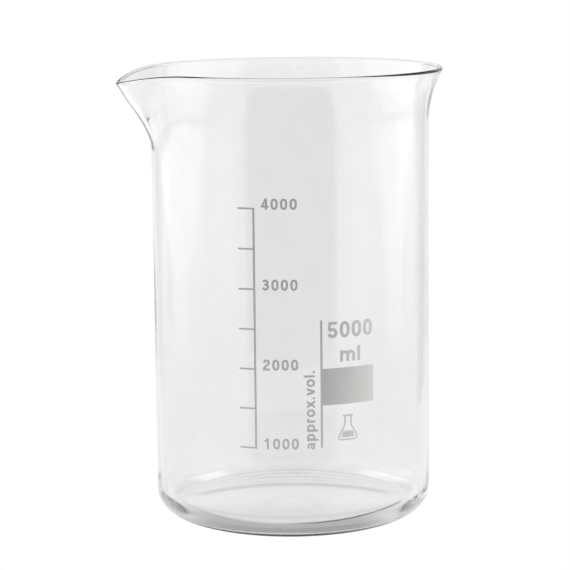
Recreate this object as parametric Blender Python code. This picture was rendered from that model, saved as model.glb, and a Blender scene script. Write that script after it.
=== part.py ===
"""A 5000 ml low-form laboratory beaker.

One glass vessel with a rounded heel, a flared rim with a softened square end, a pouring spout,
and the enamel fired onto its outside: a graduation scale with its figures, the capacity,
a writing panel, a note and a small flask emblem.

Metres, +Z up. The origin is the centre of the flat underside, on the vessel's axis. The
spout points along -X. The markings are laid out flat, in metres along the wall (u, to the
right as a reader sees it) and metres above the underside (v), and then bent onto the wall.
"""

import math

import bmesh
import bpy
from mathutils import Vector
from mathutils.geometry import delaunay_2d_cdt

# Vessel
HEIGHT = 0.2745
BODY_RADIUS = 0.085
WALL = 0.003
BASE_THICKNESS = 0.0045
HEEL_RADIUS = 0.0135
INNER_HEEL_RADIUS = 0.012
FLARE_RADIUS = 0.058
FLARE_ANGLE = math.radians(30.5)
RIM_WALL = 0.0027
RIM_CORNER = 0.00125

# Spout: the rim is drawn out and down, and the push fades to nothing down the wall
SPOUT_REACH = 0.0140
SPOUT_DIP = 0.0061
SPOUT_FOOT = 0.2235
SPOUT_SHOULDER = 0.2665
SPOUT_HALF_ANGLE = math.radians(34)
SPOUT_FOOT_HALF_ANGLE = math.radians(16)
SPOUT_TIP_ROUNDING = math.radians(3)

# Facets of the vessel
SEGMENTS = 96
CROWDING = 0.45
HEEL_STEPS = 5
FLARE_STEPS = 5
CORNER_STEPS = 4
SPOUT_LEVELS = (0.2235, 0.2290, 0.2345, 0.2390)

# Enamel
ENAMEL_GAP = 0.0001
ENAMEL_THICKNESS = 0.00015
LONGEST_CELL = 0.0025
MARKINGS_TURN = math.radians(-15)
SCALE_U = -0.0219
SCALE_WIDTH = 0.0012
FIRST_MARK_V = 0.0570
MARK_STEP = 0.02366
MARK_COUNT = 7
MARK_LENGTH = 0.0097
MARK_WIDTH = 0.0010
FIGURE_U = -0.0177
FIGURE_HEIGHT = 0.0066
FIGURE_PITCH = 0.0055
FIGURE_DROP = 0.0006
RULE_U = 0.0171
RULE_WIDTH = 0.0013
RULE_TOP_V = 0.1331
PANEL_U = (0.0178, 0.0504)
PANEL_V = (0.0823, 0.1042)
CAPACITY_U = 0.0202
CAPACITY_V = 0.1221
CAPACITY_HEIGHT = 0.00975
UNIT_U = 0.0278
UNIT_V = 0.1078
UNIT_HEIGHT = 0.0089
NOTE_BASELINE_U = 0.0131
NOTE_V = 0.0557
NOTE_HEIGHT = 0.0065
EMBLEM_U = 0.0333
EMBLEM_V = 0.0603

# Lettering, as shares of the height of a capital
BOLD = 0.195
X_HEIGHT = 0.74
FIGURE_ADVANCE = 0.772
ARC_STEP = 24
OVAL_STEPS = 18
OVAL_SQUARENESS = 0.82

MERGE = 1e-6
GLASS = ("borosilicate_glass", (0.93, 0.95, 0.95), 0.02, 1.0)
ENAMEL = ("grey_enamel", (0.42, 0.42, 0.41), 0.45, 0.0)
PANEL_ENAMEL = ("panel_enamel", (0.55, 0.55, 0.52), 0.60, 0.0)


def clear_scene():
    for item in list(bpy.data.objects):
        bpy.data.objects.remove(item, do_unlink=True)


def finish_for(name, finish):
    """A new material for one object, from (kind, colour, roughness, transmission)."""
    kind, colour, roughness, transmission = finish
    material = bpy.data.materials.new(f"{name}_{kind}")
    material.use_nodes = True
    shader = material.node_tree.nodes["Principled BSDF"]
    shader.inputs["Base Color"].default_value = (*colour, 1.0)
    shader.inputs["Roughness"].default_value = roughness
    shader.inputs["Metallic"].default_value = 0.0
    shader.inputs["Transmission Weight"].default_value = transmission
    return material


def add_object(name, body, finish):
    """Turns a bmesh into a named, smooth-shaded object with its own material."""
    bmesh.ops.recalc_face_normals(body, faces=body.faces)
    if body.calc_volume(signed=True) < 0:
        bmesh.ops.reverse_faces(body, faces=body.faces)
    mesh = bpy.data.meshes.new(name)
    body.to_mesh(mesh)
    body.free()
    mesh.shade_smooth()
    mesh.set_sharp_from_angle(angle=math.radians(40))
    mesh.materials.append(finish_for(name, finish))
    item = bpy.data.objects.new(name, mesh)
    bpy.context.scene.collection.objects.link(item)
    return item


# Vessel


def quarter_points(centre, radius, start, end, steps):
    """(r, z) points along an arc of the profile, its two ends included."""
    angles = [start + (end - start) * step / steps for step in range(steps + 1)]
    return [(centre[0] + radius * math.cos(a), centre[1] + radius * math.sin(a)) for a in angles]


def rim_points():
    """(r, z) points up the outside of the flare, over its softened square end and down the inside."""
    deep = FLARE_RADIUS + RIM_WALL - RIM_CORNER
    start_z = HEIGHT - RIM_CORNER - deep * math.sin(FLARE_ANGLE)
    hinge_r = BODY_RADIUS + FLARE_RADIUS
    outside = []
    inside = []
    for step in range(FLARE_STEPS + 1):
        share = step / FLARE_STEPS
        angle = FLARE_ANGLE * share
        inner = FLARE_RADIUS + WALL + (RIM_WALL - WALL) * share
        run = (math.cos(angle), math.sin(angle))
        outside.append((hinge_r - FLARE_RADIUS * run[0], start_z + FLARE_RADIUS * run[1]))
        inside.append((hinge_r - inner * run[0], start_z + inner * run[1]))
    end = []
    for reach, start in ((FLARE_RADIUS + RIM_CORNER, -FLARE_ANGLE), (deep, math.pi / 2 - FLARE_ANGLE)):
        centre = (hinge_r - reach * run[0], start_z + reach * run[1])
        end += quarter_points(centre, RIM_CORNER, start, start + math.pi / 2, CORNER_STEPS)
    return outside + end[1:-1] + inside[::-1]


def vessel_profile():
    """(r, z) points of the wall's section, from the underside's centre to the floor's centre."""
    inner_radius = BODY_RADIUS - WALL
    heel = quarter_points(
        (BODY_RADIUS - HEEL_RADIUS, HEEL_RADIUS), HEEL_RADIUS, -math.pi / 2, 0, HEEL_STEPS
    )
    inner_heel = quarter_points(
        (inner_radius - INNER_HEEL_RADIUS, BASE_THICKNESS + INNER_HEEL_RADIUS),
        INNER_HEEL_RADIUS, 0, -math.pi / 2, HEEL_STEPS - 1,
    )
    outer_wall = [(BODY_RADIUS, level) for level in SPOUT_LEVELS]
    inner_wall = [(inner_radius, level) for level in SPOUT_LEVELS[::-1]]
    outside = [(0.0, 0.0)] + heel + outer_wall
    inside = inner_wall + inner_heel + [(0.0, BASE_THICKNESS)]
    return outside + rim_points() + inside


def turned(profile, segments):
    """One closed body turned about Z, from a profile that starts and ends on the axis."""
    body = bmesh.new()
    corners = [body.verts.new((-r, 0.0, z)) for r, z in profile]
    edges = [body.edges.new(pair) for pair in zip(corners, corners[1:])]
    bmesh.ops.spin(
        body, geom=corners + edges, cent=(0, 0, 0), axis=(0, 0, 1), angle=math.tau,
        steps=segments, use_merge=True,
    )
    bmesh.ops.remove_doubles(body, verts=body.verts, dist=MERGE)
    return body


def spout_share(angle, height):
    """How much of the spout's push a point takes, from its angle off the spout's middle."""
    up = (height - SPOUT_FOOT) / (HEIGHT - SPOUT_FOOT)
    reach = SPOUT_FOOT_HALF_ANGLE + (SPOUT_HALF_ANGLE - SPOUT_FOOT_HALF_ANGLE) * up
    off = math.hypot(angle, SPOUT_TIP_ROUNDING) - SPOUT_TIP_ROUNDING
    return max(0.0, 1 - off / reach) ** 2


def spout_ramp(height):
    """The push at the spout's middle, from 0 at its foot to 1 at its shoulder, smoothly."""
    rise = min(1.0, (height - SPOUT_FOOT) / (SPOUT_SHOULDER - SPOUT_FOOT))
    return rise * rise * (3 - 2 * rise)


def shape_spout(body):
    """Crowds the facets towards the spout and draws the rim out into it."""
    for corner in body.verts:
        radius = math.hypot(corner.co.x, corner.co.y)
        even = math.atan2(-corner.co.y, -corner.co.x)
        angle = even - CROWDING * math.sin(even)
        height = corner.co.z
        if height > SPOUT_FOOT:
            share = spout_share(angle, height)
            up = (height - SPOUT_FOOT) / (HEIGHT - SPOUT_FOOT)
            radius += SPOUT_REACH * share * spout_ramp(height)
            height -= SPOUT_DIP * share * up**2
        corner.co = (-radius * math.cos(angle), -radius * math.sin(angle), height)


def make_vessel():
    body = turned(vessel_profile(), SEGMENTS)
    shape_spout(body)
    return add_object("glass_vessel", body, GLASS)


# Flat lettering: every stroke is a list of cells, each a list of (x, y) corners


def ribbon(path, width, closed=False):
    """The cells of a stroke of one width along a path."""
    count = len(path)
    sides = []
    for index, point in enumerate(path):
        before = path[index - 1] if closed or index else point
        after = path[(index + 1) % count] if closed or index < count - 1 else point
        run = (after - before).normalized() * (width / 2)
        across = Vector((-run.y, run.x))
        sides.append((point + across, point - across))
    pairs = list(zip(sides, sides[1:] + sides[:1])) if closed else list(zip(sides, sides[1:]))
    return [(left[1], right[1], right[0], left[0]) for left, right in pairs]


def arc(centre, radii, start, end):
    """Points along an upright ellipse, in degrees, its two ends included."""
    steps = max(2, round(abs(end - start) / ARC_STEP))
    angles = [math.radians(start + (end - start) * step / steps) for step in range(steps + 1)]
    return [
        Vector((centre[0] + radii[0] * math.cos(a), centre[1] + radii[1] * math.sin(a)))
        for a in angles
    ]


def oval(centre, radii, width):
    """The cells of a closed ring, a little squarer than an ellipse."""
    points = []
    for step in range(OVAL_STEPS):
        angle = math.tau * step / OVAL_STEPS
        across, up = math.cos(angle), math.sin(angle)
        points.append(
            Vector(
                (
                    centre[0] + radii[0] * math.copysign(abs(across) ** OVAL_SQUARENESS, across),
                    centre[1] + radii[1] * math.copysign(abs(up) ** OVAL_SQUARENESS, up),
                )
            )
        )
    return ribbon(points, width, closed=True)


def line(start, end, width):
    return ribbon([Vector(start), Vector(end)], width)


def slant(foot, top, width):
    """A leaning stroke whose two ends are cut level."""
    run = Vector(top) - Vector(foot)
    half = width / 2 * run.length / abs(run.y)
    return [((foot[0] - half, foot[1]), (foot[0] + half, foot[1]),
             (top[0] + half, top[1]), (top[0] - half, top[1]))]


def figure_0(w):
    return oval((0.386, 0.5), (0.32 - w / 2, 0.5 - w / 2), w)


def figure_1(w):
    flag = [Vector(p) for p in ((0.11, 0.745), (0.22, 0.76), (0.31, 0.82), (0.36, 0.93))]
    return line((0.42, 0.0), (0.42, 1.0), w) + ribbon(flag, 0.13)


def figure_2(w):
    bowl = arc((0.386, 0.70), (0.305 - w / 2, 0.30 - w / 2), 178, -38)
    tail = [Vector((0.31, 0.36)), Vector((0.19, 0.24)), Vector((0.165, 0.12))]
    return ribbon(bowl + tail, w) + line((0.07, 0.09), (0.70, 0.09), 0.18)


def figure_3(w):
    upper = arc((0.375, 0.719), (0.19, 0.184), 168, -90)
    lower = arc((0.375, 0.316), (0.225, 0.219), 90, -168)
    return ribbon(upper, w) + ribbon(lower, w) + line((0.28, 0.535), (0.38, 0.535), w)


def figure_4(w):
    stem = line((0.50, 0.0), (0.50, 1.0), w)
    bar = line((0.03, 0.285), (0.73, 0.285), 0.16)
    return stem + bar + slant((0.12, 0.24), (0.46, 1.0), 0.15)


def figure_5(w):
    bowl = arc((0.375, 0.32), (0.315 - w / 2, 0.32 - w / 2), 150, -168)
    back = slant((0.165, 0.44), (0.215, 0.99), 0.16)
    return ribbon(bowl, w) + back + line((0.14, 0.91), (0.66, 0.91), 0.17)


def letter_a(w):
    arch = arc((0.375, 0.47), (0.20, 0.18), 165, 0)
    bowl = oval((0.345, 0.205), (0.20, 0.125), 0.155)
    return ribbon(arch, w * 0.9) + line((0.575, 0.50), (0.575, 0.0), w) + bowl


def letter_p(w):
    return line((0.185, -0.27), (0.185, X_HEIGHT), w) + oval((0.44, 0.37), (0.22, 0.28), w)


def letter_r(w):
    shoulder = arc((0.44, 0.40), (0.255, 0.25), 175, 90)
    return line((0.185, 0.0), (0.185, X_HEIGHT), w) + ribbon(shoulder, w)


def letter_o(w):
    return oval((0.424, 0.37), (0.26, 0.28), w)


def letter_x(w):
    rising = slant((0.13, 0.0), (0.64, X_HEIGHT), w)
    return rising + slant((0.64, 0.0), (0.13, X_HEIGHT), w)


def letter_v(w):
    left = slant((0.386, 0.0), (0.13, X_HEIGHT), w)
    return left + slant((0.386, 0.0), (0.64, X_HEIGHT), w)


def letter_l(w):
    return line((0.19, 0.0), (0.19, 1.0), w)


def letter_m(w):
    stems = (0.18, 0.6175, 1.055)
    cells = line((stems[0], 0.0), (stems[0], X_HEIGHT), w)
    for left, right in zip(stems, stems[1:]):
        arch = arc(((left + right) / 2, 0.46), ((right - left) / 2, X_HEIGHT - w / 2 - 0.46), 172, 0)
        cells += ribbon(arch, w) + line((right, 0.47), (right, 0.0), w)
    return cells


def full_stop(w):
    return line((0.19, 0.0), (0.19, w), w)


# Each character's strokes and the room that it takes along the line
CHARACTERS = {
    "0": (figure_0, FIGURE_ADVANCE),
    "1": (figure_1, FIGURE_ADVANCE),
    "2": (figure_2, FIGURE_ADVANCE),
    "3": (figure_3, FIGURE_ADVANCE),
    "4": (figure_4, FIGURE_ADVANCE),
    "5": (figure_5, FIGURE_ADVANCE),
    "a": (letter_a, 0.772),
    "p": (letter_p, 0.849),
    "r": (letter_r, 0.540),
    "o": (letter_o, 0.849),
    "x": (letter_x, 0.772),
    "v": (letter_v, 0.772),
    "l": (letter_l, 0.386),
    "m": (letter_m, 1.235),
    ".": (full_stop, 0.386),
}


def bar_cells(u_range, v_range):
    """A rectangle, split along u into cells that are short enough to bend."""
    count = math.ceil((u_range[1] - u_range[0]) / LONGEST_CELL)
    step = (u_range[1] - u_range[0]) / count
    edges = [u_range[0] + step * index for index in range(count + 1)]
    low, high = v_range
    return [((a, low), (b, low), (b, high), (a, high)) for a, b in zip(edges, edges[1:])]


def placed(cells, origin, size, upright=True):
    """Cells scaled and moved to the wall's (u, v). A line that isn't upright reads upwards."""
    if upright:
        return [[(origin[0] + x * size, origin[1] + y * size) for x, y in cell] for cell in cells]
    return [[(origin[0] - y * size, origin[1] + x * size) for x, y in cell] for cell in cells]


# Enamel


def united(cells):
    """(points, triangles) that cover the union of some cells, each given anticlockwise."""
    points = []
    outlines = []
    for cell in cells:
        corners = [Vector(corner) for corner in cell]
        area = sum(a.cross(b) for a, b in zip(corners, corners[1:] + corners[:1]))
        outlines.append(list(range(len(points), len(points) + len(corners))))
        points += corners if area > 0 else corners[::-1]
    found = delaunay_2d_cdt(points, [], outlines, 0, MERGE)
    covered = [corners for corners, sources in zip(found[2], found[5]) if sources]
    return found[0], covered


def bent(point):
    """A point of the flat layout (u, v, depth outside the gap) on the vessel's wall."""
    radius = BODY_RADIUS + ENAMEL_GAP + point.z
    angle = MARKINGS_TURN + point.x / BODY_RADIUS
    return (radius * math.sin(angle), -radius * math.cos(angle), point.y)


def add_enamel(name, cells, finish=ENAMEL):
    """One closed layer of enamel over the union of some cells, bent onto the wall."""
    points, triangles = united(cells)
    body = bmesh.new()
    corners = [body.verts.new((*point, 0.0)) for point in points]
    for triangle in triangles:
        body.faces.new([corners[index] for index in triangle])
    loose = [corner for corner in body.verts if not corner.link_faces]
    bmesh.ops.delete(body, geom=loose, context="VERTS")
    raised = bmesh.ops.extrude_face_region(body, geom=body.faces[:])
    for item in raised["geom"]:
        if isinstance(item, bmesh.types.BMVert):
            item.co.z = ENAMEL_THICKNESS
    for corner in body.verts:
        corner.co = bent(corner.co)
    return add_object(name, body, finish)


def add_line_of_text(name, text, origin, size, pitch=None, upright=True):
    """One enamel piece for each character of a line."""
    along = 0.0
    for place, character in enumerate(text, start=1):
        strokes, advance = CHARACTERS[character]
        start = (origin[0] + along, origin[1]) if upright else (origin[0], origin[1] + along)
        label = "stop" if character == "." else character
        add_enamel(f"{name}_{place:02d}_{label}", placed(strokes(BOLD), start, size, upright))
        along += pitch or advance * size


def make_scale():
    """The scale's upright line and its seven marks, which are one print."""
    spine = (SCALE_U - SCALE_WIDTH / 2, SCALE_U + SCALE_WIDTH / 2)
    half = MARK_WIDTH / 2
    levels = [FIRST_MARK_V + MARK_STEP * index for index in range(MARK_COUNT)]
    cells = bar_cells(spine, (levels[0] - half, levels[-1] + half))
    for level in levels:
        cells += bar_cells((SCALE_U - MARK_LENGTH, spine[0]), (level - half, level + half))
    add_enamel("graduation_scale", cells)


def make_figures():
    """The figures beside every second mark."""
    for index, figures in enumerate(("1000", "2000", "3000", "4000")):
        level = FIRST_MARK_V + 2 * MARK_STEP * index - FIGURE_DROP
        add_line_of_text(f"scale_{figures}", figures, (FIGURE_U, level), FIGURE_HEIGHT, FIGURE_PITCH)


def make_label():
    """The capacity, its unit, the writing panel and the rule beside them."""
    half = RULE_WIDTH / 2
    add_enamel("label_rule", bar_cells((RULE_U - half, RULE_U + half), (FIRST_MARK_V, RULE_TOP_V)))
    add_enamel("writing_panel", bar_cells(PANEL_U, PANEL_V), PANEL_ENAMEL)
    add_line_of_text("capacity_5000", "5000", (CAPACITY_U, CAPACITY_V), CAPACITY_HEIGHT)
    add_line_of_text("unit_ml", "ml", (UNIT_U, UNIT_V), UNIT_HEIGHT)
    note_start = (NOTE_BASELINE_U, NOTE_V)
    add_line_of_text("note_approx_vol", "approx.vol.", note_start, NOTE_HEIGHT, upright=False)


def make_emblem():
    """A plain conical flask: an outline, and the liquid that stands in it."""
    side = ((-0.0019, 0.0150), (-0.0019, 0.0098), (-0.0058, 0.0024), (-0.0056, 0.0010), (-0.0044, 0.0005))
    left = [Vector(point) for point in side]
    right = [Vector((-point.x, point.y)) for point in reversed(left)]
    outline = ribbon(left + right, 0.0009) + line((-0.0032, 0.0150), (0.0032, 0.0150), 0.0010)
    liquid = [((-0.0043, 0.0019), (0.0043, 0.0019), (0.0030, 0.0056), (-0.0030, 0.0056))]
    add_enamel("emblem_flask", placed(outline, (EMBLEM_U, EMBLEM_V), 1.0))
    add_enamel("emblem_liquid", placed(liquid, (EMBLEM_U, EMBLEM_V), 1.0))


clear_scene()
make_vessel()
make_scale()
make_figures()
make_label()
make_emblem()
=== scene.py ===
"""Looks for a 5000 ml low-form laboratory beaker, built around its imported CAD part.

The CAD's faceted glass vessel is replaced by a finely turned one with the small waves of
drawn glass. The fired enamel markings stay as they are and get enamel materials. The studio
is a white sweep with a soft light on each side, the dark above it, and a darker room behind
the camera.

Metres, +Z up, the part's own frame: the origin is the centre of the underside, and the
spout points along -X.
"""

import math

import bmesh
import bpy
import numpy as np
from mathutils import Matrix, Vector, noise


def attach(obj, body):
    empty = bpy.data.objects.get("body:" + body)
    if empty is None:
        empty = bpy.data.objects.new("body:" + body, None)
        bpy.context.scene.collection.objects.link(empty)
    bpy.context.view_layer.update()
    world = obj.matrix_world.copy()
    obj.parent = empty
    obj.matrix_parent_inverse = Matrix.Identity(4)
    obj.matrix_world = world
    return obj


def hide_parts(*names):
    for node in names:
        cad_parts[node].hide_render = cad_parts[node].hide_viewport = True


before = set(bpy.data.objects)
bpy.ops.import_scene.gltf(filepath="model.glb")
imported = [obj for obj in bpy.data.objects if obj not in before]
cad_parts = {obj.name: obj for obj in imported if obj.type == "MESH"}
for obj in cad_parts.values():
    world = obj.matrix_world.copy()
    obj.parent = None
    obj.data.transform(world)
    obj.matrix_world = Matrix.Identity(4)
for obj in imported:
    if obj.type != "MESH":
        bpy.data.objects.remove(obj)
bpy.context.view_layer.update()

# Vessel, the same sizes as the CAD part
HEIGHT = 0.2745
BODY_RADIUS = 0.085
WALL = 0.003
BASE_THICKNESS = 0.0045
HEEL_RADIUS = 0.0135
INNER_HEEL_RADIUS = 0.012
FLARE_RADIUS = 0.058
FLARE_ANGLE = math.radians(30.5)
RIM_WALL = 0.0027
RIM_CORNER = 0.00125
SPOUT_REACH = 0.0140
SPOUT_DIP = 0.0061
SPOUT_FOOT = 0.2235
SPOUT_SHOULDER = 0.2665
SPOUT_HALF_ANGLE = math.radians(34)
SPOUT_FOOT_HALF_ANGLE = math.radians(16)
SPOUT_TIP_ROUNDING = math.radians(3)

# How far the rim's squared end is rounded into a slight bead: 0 not at all, 1 fully. It swings
# once round the rim, most at BEAD_TURN from the spout, and drifts in a few patches besides.
BEAD_RADIUS = 0.00155
BEAD_MEAN = 0.33
BEAD_SWING = 0.27
BEAD_TURN = math.radians(60)
BEAD_DRIFT = 0.25
BEAD_PATCHES = 2.0
BEAD_SEED = 0.7

# Fineness of the visible vessel
SEGMENTS = 448
HEEL_STEPS = 18
FLARE_STEPS = 20
CORNER_STEPS = 10
WALL_STEP = 0.006
FLOOR_STEP = 0.004

# Waves of drawn glass: (depth, width round the wall, length along it). They grow above the heel
# and end below the rim.
OUTER_WAVES = (0.00006, 0.030, 0.110)
INNER_WAVES = (0.00014, 0.022, 0.080)
DRAG_WAVES = (0.000014, 0.0050, 0.050)
OUTER_SEED = 0.0
INNER_SEED = 7.0
WAVES_GROW = (0.0, 0.02)
WAVES_END = (0.262, 0.271)

# Ripple left by turning out the flare: deepest at RIPPLE_TURN from the spout and opposite that
OUTER_RIPPLE = (0.00012, 0.0044, 0.0052)
INNER_RIPPLE = (0.00004, 0.0044, 0.0052)
RIPPLE_TURN = math.radians(75)
RIPPLE_GROWS = (0.244, 0.250)

# Rings in the floor, and the rise of the underside to its middle
FLOOR_RIPPLE = 0.00003
FLOOR_RIPPLE_WIDTH = 0.016
FLOOR_RIPPLE_SEED = (3.1, 0.4)
FLOOR_RIPPLE_END = 0.069
FLOOR_RIPPLE_FADE = 0.01
UNDERSIDE_RISE = 0.0008
UNDERSIDE_POWER = 2.0

# The part of a noise's range that is stretched to the whole of a range of greys or roughnesses
NOISE_SPREAD = (0.3, 0.7)

# Clear glass: its refraction, the two greys that its haze drifts between, how strongly its
# inside absorbs light (per metre), and the roughness and relief of its surface
GLASS_IOR = 1.473
GLASS_TINT = (0.938, 0.958)
GLASS_ABSORPTION = 3.5
HAZE_SCALE = 38.0
HAZE_SPREAD = (0.35, 0.75)
HAZE_ROUGHNESS = 0.012
HEEL_ROUGHNESS = 0.035
HEEL_ROUGHNESS_FADES = (0.0108, 0.0216)
DRAG_SCALE = 160.0
DRAG_STRENGTH = 0.15
RELIEF_DEPTH = 0.00004

# Enamels: (grey where thick, paler grey, warmth, and how far it pales: in patches where it went
# on thinner, towards the label's right as painted light from the right, and low down). The last
# constant here holds the heights between which it pales low down.
PRINT_ENAMEL = (0.46, 0.88, 0.0, (0.12, 0.50, 0.22))
PANEL_ENAMEL = (0.50, 0.82, 0.012, (0.10, 0.85, 0.0))
MOTTLE_SCALE = 210.0
GRAIN_SCALE = 2600.0
GRAIN_ROUGHNESS = (0.35, 0.6)
GRAIN_STRENGTH = 0.3
PALER_LOW_DOWN = (0.16, 0.06)

# The label's ends, as angles round the wall from the part's -Y side
LABEL_START = math.radians(-6)
LABEL_END = math.radians(19)

# Painted shade on the edge of the foot, a darker grey laid into the glass's tint: its grey, the
# arc it covers about the front, the heights where it starts and ends, the radius where it starts,
# and the facing ratios between which it shows
FOOT_SHADE_TINT = 0.12
FOOT_SHADE_TURN = math.radians(-6)
FOOT_SHADE_HALF_WIDTH = math.radians(62)
FOOT_SHADE_SOFTNESS = math.radians(30)
FOOT_SHADE_FOOT = (0.0001, 0.0003)
FOOT_SHADE_TOP = (0.00294, 0.0042)
FOOT_SHADE_EDGE = (0.0722, 0.0735)
FOOT_SHADE_GLANCING = (0.30, 0.55)

# Camera, about the vessel's axis
CAMERA_TURN = math.radians(15)
CAMERA_DISTANCE = 1.32934
CAMERA_HEIGHT = 0.36853
CAMERA_PITCH = math.radians(9.762)
CAMERA_ROLL = math.radians(0.542)
LENS = 137.58
SENSOR = 36.0
SHIFT_X = -0.01154
FAR_CLIP = 50.0
LIGHT_BOUNCES = 48


def steps(start, end, longest):
    """Evenly spaced values from start to end, no further apart than longest."""
    count = max(1, math.ceil(abs(end - start) / longest))
    return [start + (end - start) * i / count for i in range(count + 1)]


def arc(centre, radius, start, end, count):
    """Points (r, z) on an arc, angles in radians from the outward direction."""
    angles = [start + (end - start) * i / count for i in range(count + 1)]
    return [(centre[0] + radius * math.cos(a), centre[1] + radius * math.sin(a)) for a in angles]


def rim_curves():
    """The outside and inside (r, z) points of the flare, and between them the end of the rim.

    The end is a list of pairs of points: on a squared end, and on the rounder, slightly
    swollen one that working the spout in the flame leaves.
    """
    deep = FLARE_RADIUS + RIM_WALL - RIM_CORNER
    start_z = HEIGHT - RIM_CORNER - deep * math.sin(FLARE_ANGLE)
    hinge_r = BODY_RADIUS + FLARE_RADIUS
    outside = []
    inside = []
    for i in range(FLARE_STEPS + 1):
        share = i / FLARE_STEPS
        angle = FLARE_ANGLE * share
        inner = FLARE_RADIUS + WALL + (RIM_WALL - WALL) * share
        across, up = math.cos(angle), math.sin(angle)
        outside.append((hinge_r - FLARE_RADIUS * across, start_z + FLARE_RADIUS * up))
        inside.append((hinge_r - inner * across, start_z + inner * up))
    along = math.pi / 2 - FLARE_ANGLE
    squared = [outside.pop()]
    for reach, start in ((FLARE_RADIUS + RIM_CORNER, -FLARE_ANGLE), (deep, along)):
        centre = (hinge_r - reach * math.cos(FLARE_ANGLE), start_z + reach * math.sin(FLARE_ANGLE))
        squared += arc(centre, RIM_CORNER, start, start + math.pi / 2, CORNER_STEPS)
    squared.append(inside.pop())
    middle = FLARE_RADIUS + RIM_WALL / 2
    sunk = BEAD_RADIUS - RIM_WALL / 2
    bead_r = hinge_r - middle * math.cos(FLARE_ANGLE) - sunk * math.sin(FLARE_ANGLE)
    bead_z = start_z + middle * math.sin(FLARE_ANGLE) - sunk * math.cos(FLARE_ANGLE)
    spread = math.pi - math.asin(RIM_WALL / 2 / BEAD_RADIUS)
    bead = arc((bead_r, bead_z), BEAD_RADIUS, along - spread, along + spread, len(squared) - 1)
    return outside, list(zip(squared, bead)), inside[::-1]


def vessel_curve():
    """The vessel's closed half section, from the underside's centre round to the floor's.

    Each point is (r, z, side), or on the end of the rim (squared (r, z), rounded (r, z), "end").
    """
    outside, end, inside = rim_curves()
    heel = arc((BODY_RADIUS - HEEL_RADIUS, HEEL_RADIUS), HEEL_RADIUS, -math.pi / 2, 0, HEEL_STEPS)
    inner_heel = arc(
        (BODY_RADIUS - WALL - INNER_HEEL_RADIUS, BASE_THICKNESS + INNER_HEEL_RADIUS),
        INNER_HEEL_RADIUS,
        0,
        -math.pi / 2,
        HEEL_STEPS,
    )
    points = [(r, 0.0, "under") for r in steps(0, heel[0][0], FLOOR_STEP)[:-1]]
    points += [(r, z, "out") for r, z in heel]
    points += [(BODY_RADIUS, z, "out") for z in steps(HEEL_RADIUS, outside[0][1], WALL_STEP)[1:-1]]
    points += [(r, z, "out") for r, z in outside]
    points += [(square, bead, "end") for square, bead in end]
    points += [(r, z, "in") for r, z in inside]
    inner_wall = steps(inside[-1][1], inner_heel[0][1], WALL_STEP)
    points += [(BODY_RADIUS - WALL, z, "in") for z in inner_wall[1:-1]]
    points += [(r, z, "in") for r, z in inner_heel]
    points += [(r, BASE_THICKNESS, "floor") for r in steps(inner_heel[-1][0], 0, FLOOR_STEP)[1:]]
    return points


def spout_share(angle, height):
    """How much of the spout's push a point takes, by its angle from the spout's middle."""
    up = (height - SPOUT_FOOT) / (HEIGHT - SPOUT_FOOT)
    reach = SPOUT_FOOT_HALF_ANGLE + (SPOUT_HALF_ANGLE - SPOUT_FOOT_HALF_ANGLE) * up
    off = math.hypot(angle, SPOUT_TIP_ROUNDING) - SPOUT_TIP_ROUNDING
    return max(0.0, 1 - off / reach) ** 2


def spout_ramp(height):
    """How much of the spout's reach there is at a height: none at its foot, all at its shoulder."""
    rise = min(1.0, (height - SPOUT_FOOT) / (SPOUT_SHOULDER - SPOUT_FOOT))
    return rise * rise * (3 - 2 * rise)


def waves(angle, height, sizes, seed):
    """The drift of the glass surface at a place on the wall, in metres."""
    depth, width, length = sizes
    around = BODY_RADIUS / width
    place = Vector((around * math.cos(angle), around * math.sin(angle), height / length + seed))
    return depth * noise.noise(place)


def fade_in(value, start, end):
    """0 up to start, 1 from end on, and smooth between them."""
    share = min(1.0, max(0.0, (value - start) / (end - start)))
    return share * share * (3 - 2 * share)


def rim_rounding(angle):
    """How far the rim's end is rounded, from 0 to 1, at an angle from the spout's middle."""
    place = Vector((BEAD_PATCHES * math.cos(angle), BEAD_PATCHES * math.sin(angle), BEAD_SEED))
    rounded = BEAD_MEAN + BEAD_SWING * math.cos(angle - BEAD_TURN) + BEAD_DRIFT * noise.noise(place)
    return min(1.0, max(0.0, rounded))


def vessel_point(radius, height, side, angle):
    """Where one point of the half section goes, at an angle from the spout's middle."""
    if side == "end":
        square, bead = radius, height
        rounded = rim_rounding(angle)
        radius = square[0] + (bead[0] - square[0]) * rounded
        height = square[1] + (bead[1] - square[1]) * rounded
    if side in ("out", "in"):
        sizes = INNER_WAVES if side == "in" else OUTER_WAVES
        ripple = INNER_RIPPLE if side == "in" else OUTER_RIPPLE
        seed = INNER_SEED if side == "in" else OUTER_SEED
        free = fade_in(height, *WAVES_GROW) * (1 - fade_in(height, *WAVES_END))
        radius += free * (waves(angle, height, sizes, seed) + waves(angle, height, DRAG_WAVES, seed))
        worked = fade_in(height, *RIPPLE_GROWS) * free * abs(math.cos(angle - RIPPLE_TURN))
        radius += worked * waves(angle, height, ripple, seed)
    if side == "floor":
        ring = noise.noise(Vector((radius / FLOOR_RIPPLE_WIDTH, *FLOOR_RIPPLE_SEED)))
        height += FLOOR_RIPPLE * ring * fade_in(FLOOR_RIPPLE_END - radius, 0.0, FLOOR_RIPPLE_FADE)
    if side == "under":
        height += UNDERSIDE_RISE * (1 - (radius / (BODY_RADIUS - HEEL_RADIUS)) ** UNDERSIDE_POWER)
    if height > SPOUT_FOOT and side != "floor":
        share = spout_share(angle, height)
        up = (height - SPOUT_FOOT) / (HEIGHT - SPOUT_FOOT)
        radius += SPOUT_REACH * share * spout_ramp(height)
        height -= SPOUT_DIP * share * up**2
    return (-radius * math.cos(angle), -radius * math.sin(angle), height)


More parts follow.
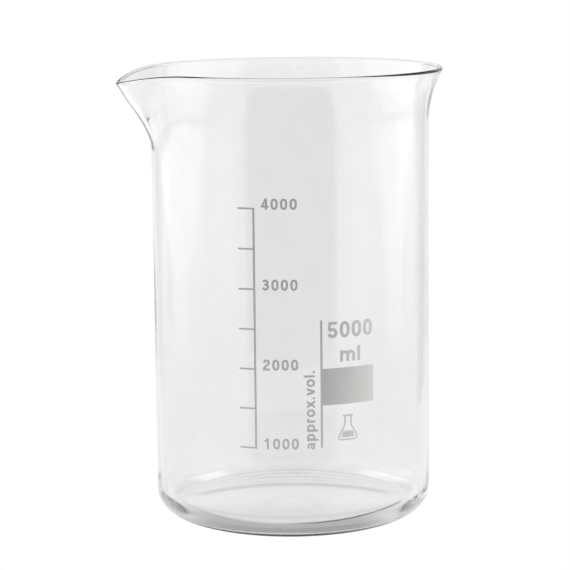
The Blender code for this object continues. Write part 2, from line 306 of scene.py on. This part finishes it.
def build_vessel():
    """A new object, the finely turned glass vessel."""
    curve = vessel_curve()
    body = bmesh.new()
    turns = [2 * math.pi * i / SEGMENTS - math.pi for i in range(SEGMENTS)]
    rings = []
    for radius, height, side in curve:
        if radius == 0.0:
            rings.append([body.verts.new(vessel_point(0.0, height, side, 0.0))])
        else:
            rings.append([body.verts.new(vessel_point(radius, height, side, t)) for t in turns])
    for low, high in zip(rings, rings[1:]):
        for i in range(SEGMENTS):
            j = (i + 1) % SEGMENTS
            if len(low) == 1:
                body.faces.new((low[0], high[j], high[i]))
            elif len(high) == 1:
                body.faces.new((low[i], low[j], high[0]))
            else:
                body.faces.new((low[i], low[j], high[j], high[i]))
    bmesh.ops.recalc_face_normals(body, faces=body.faces)
    if body.calc_volume(signed=True) < 0:
        bmesh.ops.reverse_faces(body, faces=body.faces)
    mesh = bpy.data.meshes.new("glass_vessel_fine")
    body.to_mesh(mesh)
    body.free()
    mesh.shade_smooth()
    vessel = bpy.data.objects.new("beaker_glass", mesh)
    bpy.context.scene.collection.objects.link(vessel)
    return vessel


# ---------------------------------------------------------------- materials


class Nodes:
    """Short ways to add and link shader nodes in one tree."""

    def __init__(self, tree):
        self.tree = tree

    def add(self, kind, **settings):
        node = self.tree.nodes.new(kind)
        for name, value in settings.items():
            setattr(node, name, value)
        return node

    def link(self, source, target):
        self.tree.links.new(source, target)

    def put(self, target, value):
        """Sets a socket to a number or a colour, or links it to another node's socket."""
        if isinstance(value, bpy.types.NodeSocket):
            self.link(value, target)
        else:
            target.default_value = value

    def maths(self, operation, *values):
        node = self.add("ShaderNodeMath", operation=operation)
        for target, value in zip(node.inputs, values):
            self.put(target, value)
        return node.outputs[0]

    def product(self, first, *others):
        for other in others:
            first = self.maths("MULTIPLY", first, other)
        return first

    def split(self, vector):
        """The x, y and z of a vector."""
        node = self.add("ShaderNodeSeparateXYZ")
        self.link(vector, node.inputs[0])
        return node.outputs

    def azimuth(self, x, y):
        """The angle round the vessel's axis, to the right from -Y, in radians."""
        return self.maths("ARCTAN2", x, self.maths("MULTIPLY", y, -1.0))

    def distance(self, x, y):
        squares = self.maths("ADD", self.maths("MULTIPLY", x, x), self.maths("MULTIPLY", y, y))
        return self.maths("SQRT", squares)

    def noise(self, vector, scale, detail, roughness):
        node = self.add("ShaderNodeTexNoise")
        self.link(vector, node.inputs["Vector"])
        node.inputs["Scale"].default_value = scale
        node.inputs["Detail"].default_value = detail
        node.inputs["Roughness"].default_value = roughness
        return node.outputs["Fac"]

    def ranged(self, value, low, high, to_low, to_high, smooth=False):
        kind = "SMOOTHSTEP" if smooth else "LINEAR"
        node = self.add("ShaderNodeMapRange", interpolation_type=kind)
        for target, number in zip(node.inputs[:5], (value, low, high, to_low, to_high)):
            self.put(target, number)
        return node.outputs[0]

    def blend(self, share, first, second):
        node = self.add("ShaderNodeMix", data_type="RGBA")
        self.put(node.inputs["Factor"], share)
        self.put(node.inputs[6], first)
        self.put(node.inputs[7], second)
        return node.outputs[2]

    def number_mix(self, share, first, second, label):
        node = self.add("ShaderNodeMix", data_type="FLOAT", label=label)
        self.put(node.inputs["Factor"], share)
        self.put(node.inputs["A"], first)
        self.put(node.inputs["B"], second)
        return node.outputs["Result"]

    def bump(self, height, strength, distance):
        node = self.add("ShaderNodeBump")
        node.inputs["Strength"].default_value = strength
        node.inputs["Distance"].default_value = distance
        self.link(height, node.inputs["Height"])
        return node.outputs["Normal"]


def new_material(name):
    material = bpy.data.materials.new(name)
    material.use_nodes = True
    nodes = Nodes(material.node_tree)
    shader = material.node_tree.nodes["Principled BSDF"]
    place = nodes.add("ShaderNodeTexCoord").outputs["Object"]
    return material, nodes, shader, place


def grey(value, warmth=0.0):
    return (value * (1 + warmth), value, value * (1 - warmth), 1.0)


def window(nodes, value, half_width, softness):
    """1 within half_width either side of zero, softly down to 0 outside it."""
    reach = nodes.maths("ABSOLUTE", value)
    return nodes.ranged(reach, half_width - softness / 2, half_width + softness / 2, 1.0, 0.0, True)


def foot_shade(nodes, place):
    """How much painted shade darkens the edge of the foot: only at the front, and seen at a slant."""
    x, y, z = nodes.split(place)
    azimuth = nodes.maths("ADD", nodes.azimuth(x, y), CAMERA_TURN)
    turned = nodes.maths("SUBTRACT", azimuth, FOOT_SHADE_TURN)
    front = window(nodes, turned, FOOT_SHADE_HALF_WIDTH, FOOT_SHADE_SOFTNESS)
    low = nodes.ranged(z, *FOOT_SHADE_TOP, 1.0, 0.0, True)
    high = nodes.ranged(z, *FOOT_SHADE_FOOT, 0.0, 1.0, True)
    edge = nodes.ranged(nodes.distance(x, y), *FOOT_SHADE_EDGE, 0.0, 1.0, True)
    facing = nodes.add("ShaderNodeLayerWeight").outputs["Facing"]
    glancing = nodes.ranged(facing, *FOOT_SHADE_GLANCING, 0.0, 1.0, True)
    return nodes.product(low, high, edge, front, glancing)


def glass_material():
    """Clear borosilicate with a hardly visible haze, fine drag marks and a slightly dull heel."""
    material, nodes, shader, place = new_material("borosilicate_glass")
    haze = nodes.noise(place, HAZE_SCALE, 4.0, 0.6)
    clear, hazy = GLASS_TINT
    tint = nodes.blend(nodes.ranged(haze, *NOISE_SPREAD, 0.0, 1.0), grey(clear), grey(hazy))
    # Painted shade: the edge of the foot at the front is darkened in the glass's tint
    tint = nodes.blend(foot_shade(nodes, place), tint, grey(FOOT_SHADE_TINT))
    nodes.link(tint, shader.inputs["Base Color"])
    z = nodes.split(place)[2]
    heel = nodes.ranged(z, *HEEL_ROUGHNESS_FADES, HEEL_ROUGHNESS, 0.0, True)
    hazed = nodes.ranged(haze, *HAZE_SPREAD, 0.0, HAZE_ROUGHNESS)
    nodes.link(nodes.maths("ADD", hazed, heel), shader.inputs["Roughness"])
    drag = nodes.noise(place, DRAG_SCALE, 2.0, 0.5)
    nodes.link(nodes.bump(drag, DRAG_STRENGTH, RELIEF_DEPTH), shader.inputs["Normal"])
    shader.inputs["IOR"].default_value = GLASS_IOR
    shader.inputs["Transmission Weight"].default_value = 1.0
    inside = nodes.add("ShaderNodeVolumeAbsorption")
    inside.inputs["Color"].default_value = (0.0, 0.0, 0.0, 1.0)
    inside.inputs["Density"].default_value = GLASS_ABSORPTION
    nodes.link(inside.outputs[0], material.node_tree.nodes["Material Output"].inputs["Volume"])
    return material


def enamel_material(name, thick, pale_grey, warmth, thinning_and_light):
    """Fired ceramic ink: satin, fine-grained, paler where it went on thinner, and paler towards the
    label's right as painted light.

    The last argument says how far it pales: in patches where it is thinner, towards the label's
    right as painted light, and low down.
    """
    material, nodes, shader, place = new_material(name)
    x, y, z = nodes.split(place)
    patches, lit_to_the_right, low_down = thinning_and_light
    mottle = nodes.ranged(nodes.noise(place, MOTTLE_SCALE, 4.0, 0.6), *NOISE_SPREAD, 0.0, patches)
    # Painted light: the enamel pales towards the label's right, where the right-hand light falls
    right = nodes.ranged(nodes.azimuth(x, y), LABEL_START, LABEL_END, 0.0, lit_to_the_right)
    low = nodes.ranged(z, *PALER_LOW_DOWN, 0.0, low_down)
    share = nodes.maths("ADD", nodes.maths("ADD", mottle, right), low)
    nodes.link(nodes.blend(share, grey(thick, warmth), grey(pale_grey, warmth)), shader.inputs["Base Color"])
    grain = nodes.noise(place, GRAIN_SCALE, 2.0, 0.6)
    nodes.link(nodes.ranged(grain, *NOISE_SPREAD, *GRAIN_ROUGHNESS), shader.inputs["Roughness"])
    nodes.link(nodes.bump(grain, GRAIN_STRENGTH, RELIEF_DEPTH), shader.inputs["Normal"])
    return material


def dress_enamel():
    """Gives each CAD node of enamel the material of its kind."""
    print_enamel = enamel_material("print_enamel", *PRINT_ENAMEL)
    panel_enamel = enamel_material("panel_enamel", *PANEL_ENAMEL)
    for name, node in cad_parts.items():
        if name == "glass_vessel":
            continue
        node.data.materials.clear()
        node.data.materials.append(panel_enamel if name == "writing_panel" else print_enamel)


# ---------------------------------------------------------------- studio

# Zones of light round the object: (name, turn to the right of the camera, rise above the
# horizon, half width, half height, softness of the sides, softness of the ends, share of the
# width lost at the lower end, brightness), all the angles in degrees. Each zone is laid over
# the ones before it, on a white backdrop.
LIGHT_ZONES = (
    ("dark_above_backdrop", 180, 53, 58, 35, 14, 5, 0.0, 0.16),
    ("left_fill", -92, 25, 44, 35, 12, 5, 0.0, 1.25),
    ("right_fill", 88, 25, 36, 35, 12, 5, 0.0, 1.26),
    ("dark_room", 0, -20, 38, 42, 5, 12, 0.0, 0.29),
    ("room_ceiling", 0, 45, 45, 18, 14, 14, 0.0, 0.30),
    ("left_softbox", -106, 20, 31, 30, 4, 6, 0.6, 1.8),
    ("right_softbox", 95, 20, 17, 29.5, 3, 6, 0.5, 1.65),
    ("left_table_glow", -108, -33, 30, 16, 6, 8, 0.0, 1.6),
    ("right_table_glow", 104, -33, 20, 16, 6, 8, 0.0, 1.6),
    ("left_gap", -146, 5, 7, 22, 3, 3, 0.0, 0.85),
    ("right_gap", 139, 5, 9, 22, 3, 3, 0.0, 0.66),
    ("right_line", 157, 5, 1.5, 24, 2, 3, 0.0, 0.55),
)
NARROWING = math.radians(4.5)
BACKDROP = 0.97
TABLE_TINT = 0.94
TABLE_SIDE = 0.30
TABLE_FRONT = 0.24
TABLE_BACK = 4.0
TABLE_DROP = 0.0003

# What the glass sees on the table under its base, painted into the table's glow: painted shade,
# and painted light gathered by the heel.
# (name, how far the ring's centre is towards the camera; radii where it starts, is full, fades
# and ends; what it makes of the light; turn to the right of the camera, half width and
# softness, in degrees)
TABLE_RINGS = (
    ("broad_shade", 0.0, 0.0640, 0.0715, 0.0800, 0.0880, 0.52, -5, 52, 40),
    ("contact_shadow_line", 0.0, 0.0700, 0.0728, 0.0765, 0.0790, 0.83, -8, 52, 40),
    ("floor_edge_shade", 0.0, 0.0648, 0.0662, 0.0680, 0.0694, 0.20, 40, 38, 34),
    ("all_round_shade", 0.0, 0.0640, 0.0715, 0.0740, 0.0800, 0.92, 0, 180, 1),
    ("far_arc_shade", 0.0500, 0.0830, 0.0870, 0.0900, 0.0945, 0.62, 180, 44, 14),
    ("centre_ring_shade", 0.0090, 0.0125, 0.0150, 0.0170, 0.0195, 0.93, 0, 180, 1),
    ("left_glint", 0.0, 0.0735, 0.0760, 0.0880, 0.0900, 1.25, -138, 9, 12),
    ("right_glint", 0.0, 0.0735, 0.0760, 0.0880, 0.0900, 1.25, 134, 13, 14),
)


def zone_light(nodes, light, azimuth, elevation, zone):
    """The light with one more zone laid over it."""
    name, lost, brightness = zone[0], zone[7], zone[8]
    turn, rise, half_width, half_height, sides, ends = (math.radians(value) for value in zone[1:7])
    foot = rise - half_height
    kept = nodes.ranged(elevation, foot, foot + NARROWING, 1 - lost, 1.0, True)
    across = nodes.maths("WRAP", nodes.maths("SUBTRACT", azimuth, turn), math.pi, -math.pi)
    across = nodes.maths("DIVIDE", across, kept)
    along = nodes.maths("SUBTRACT", elevation, rise)
    inside = nodes.maths(
        "MULTIPLY", window(nodes, across, half_width, sides), window(nodes, along, half_height, ends)
    )
    return nodes.number_mix(inside, light, brightness, name)


def studio_world():
    """A white studio, with its zones of light seen only in and through the object."""
    world = bpy.data.worlds.new("studio")
    bpy.context.scene.world = world
    world.use_nodes = True
    nodes = Nodes(world.node_tree)
    background = world.node_tree.nodes["Background"]
    x, y, z = nodes.split(nodes.add("ShaderNodeTexCoord").outputs["Generated"])
    azimuth = nodes.maths("ADD", nodes.azimuth(x, y), CAMERA_TURN)
    elevation = nodes.maths("ARCSINE", z)
    light = BACKDROP
    for zone in LIGHT_ZONES:
        light = zone_light(nodes, light, azimuth, elevation, zone)
    seen = nodes.add("ShaderNodeLightPath").outputs["Is Camera Ray"]
    nodes.link(nodes.number_mix(seen, light, 1.0, "white_backdrop"), background.inputs["Strength"])
    background.inputs["Color"].default_value = (1.0, 1.0, 1.0, 1.0)


def ring_light(nodes, x, y, ring):
    """What one ring makes of the table's light."""
    name, forward, start, full, fading, end, light = ring[:7]
    turn, half_width, softness = (math.radians(value) for value in ring[7:])
    toward = nodes.maths("SUBTRACT", nodes.maths("MULTIPLY", y, -1.0), forward)
    radius = nodes.distance(x, toward)
    coming = nodes.ranged(radius, start, full, 0.0, 1.0, True)
    going = nodes.ranged(radius, fading, end, 1.0, 0.0, True)
    azimuth = nodes.maths("ARCTAN2", x, toward)
    across = nodes.maths("WRAP", nodes.maths("SUBTRACT", azimuth, turn), math.pi, -math.pi)
    ring_share = nodes.maths("MINIMUM", coming, going)
    inside = nodes.maths("MULTIPLY", ring_share, window(nodes, across, half_width, softness))
    return nodes.number_mix(inside, 1.0, light, name)


def studio_table():
    """The pale floor: it stays white, but for the rings of painted shade and painted light that the
    glass sees under its base.
    """
    corners = [
        (-TABLE_SIDE, -TABLE_FRONT, 0),
        (TABLE_SIDE, -TABLE_FRONT, 0),
        (TABLE_SIDE, TABLE_BACK, 0),
        (-TABLE_SIDE, TABLE_BACK, 0),
    ]
    mesh = bpy.data.meshes.new("floor")
    mesh.from_pydata(corners, [], [(0, 1, 2, 3)])
    floor = bpy.data.objects.new("floor", mesh)
    floor.location.z = -TABLE_DROP
    floor.rotation_euler.z = -CAMERA_TURN
    bpy.context.scene.collection.objects.link(floor)
    material = bpy.data.materials.new("white_floor")
    material.use_nodes = True
    nodes = Nodes(material.node_tree)
    x, y, _ = nodes.split(nodes.add("ShaderNodeTexCoord").outputs["Object"])
    light = TABLE_TINT
    for ring in TABLE_RINGS:
        light = nodes.maths("MULTIPLY", light, ring_light(nodes, x, y, ring))
    seen = nodes.add("ShaderNodeLightPath").outputs["Is Camera Ray"]
    glow = nodes.add("ShaderNodeEmission")
    nodes.link(nodes.number_mix(seen, light, 1.0, "white_floor"), glow.inputs["Strength"])
    nodes.link(glow.outputs[0], material.node_tree.nodes["Material Output"].inputs["Surface"])
    mesh.materials.append(material)


def set_camera():
    camera = bpy.data.objects.new("camera", bpy.data.cameras.new("camera"))
    camera.data.lens = LENS
    camera.data.sensor_width = SENSOR
    camera.data.shift_x = SHIFT_X
    camera.data.clip_end = FAR_CLIP
    place = Vector(
        (
            -CAMERA_DISTANCE * math.sin(CAMERA_TURN),
            -CAMERA_DISTANCE * math.cos(CAMERA_TURN),
            CAMERA_HEIGHT,
        )
    )
    turn = Matrix.Rotation(-CAMERA_TURN, 4, "Z")
    tilt = Matrix.Rotation(math.pi / 2 - CAMERA_PITCH, 4, "X")
    roll = Matrix.Rotation(-CAMERA_ROLL, 4, "Z")
    camera.matrix_world = Matrix.Translation(place) @ turn @ tilt @ roll
    bpy.context.scene.collection.objects.link(camera)
    bpy.context.scene.camera = camera


def set_colours():
    view = bpy.context.scene.view_settings
    view.view_transform = "Standard"
    view.look = "None"


def set_light_paths():
    """Enough bounces for light that is led along inside the wall."""
    cycles = bpy.context.scene.cycles
    cycles.max_bounces = LIGHT_BOUNCES
    cycles.transmission_bounces = LIGHT_BOUNCES
    cycles.glossy_bounces = LIGHT_BOUNCES


vessel = build_vessel()
vessel.data.materials.append(glass_material())
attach(vessel, "root")
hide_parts("glass_vessel")
dress_enamel()
studio_world()
studio_table()
set_camera()
set_colours()
set_light_paths()
